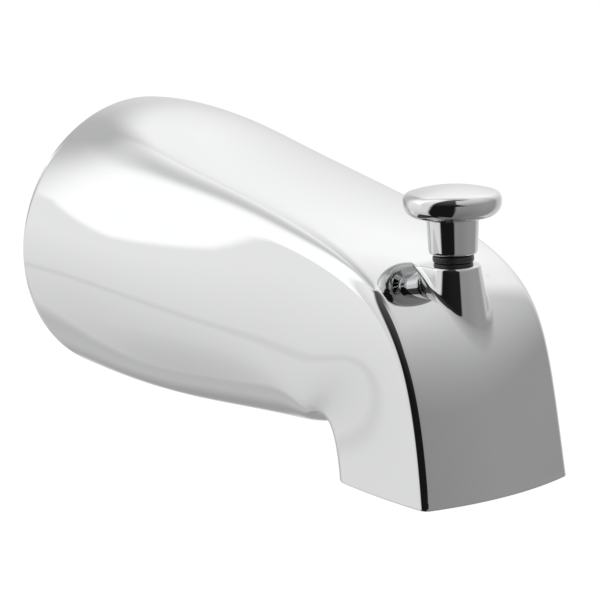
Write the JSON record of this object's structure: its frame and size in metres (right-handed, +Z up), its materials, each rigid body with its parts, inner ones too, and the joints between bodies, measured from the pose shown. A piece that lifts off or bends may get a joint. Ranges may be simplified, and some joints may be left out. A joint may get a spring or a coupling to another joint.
{
  "type": "bath spout",
  "caption": "Slip-fit bath spout: a round wall end sweeps into a squared, down-turned nose, with a pull-up mushroom knob that lifts a gate to divert water to a shower.",
  "frame": {"origin": "centre of the round wall end, in the plane of the finished wall", "axes": "+X out of the wall along the supply pipe, +Z up, the part is symmetric about the XZ plane"},
  "size_m": [0.1385, 0.0702, 0.0707],
  "materials": {
    "chrome_plate": "polished",
    "brass": "machined",
    "steel": "plain",
    "black_rubber": "satin"
  },
  "bodies": {
    "spout": {"spout_body": "chrome_plate", "inlet_sleeve": "brass", "inlet_o_ring_outer": "black_rubber", "inlet_o_ring_inner": "black_rubber", "sleeve_o_ring": "black_rubber", "sleeve_snap_ring": "steel", "set_screw": "steel", "stem_bushing": "brass", "stem_seal": "black_rubber", "stem_wiper": "black_rubber"},
    "diverter": {"lift_rod": "brass", "lift_knob": "chrome_plate", "bumper_ring": "black_rubber", "gate": "brass", "gate_seal": "black_rubber", "rod_washer": "steel", "rod_nut": "steel"}
  },
  "joints": [
    {"name": "diverter_lift", "type": "slide", "parent": "spout", "child": "diverter", "axis": [-0.0872, 0, 0.9962], "range_m": [0, 0.015]}
  ]
}
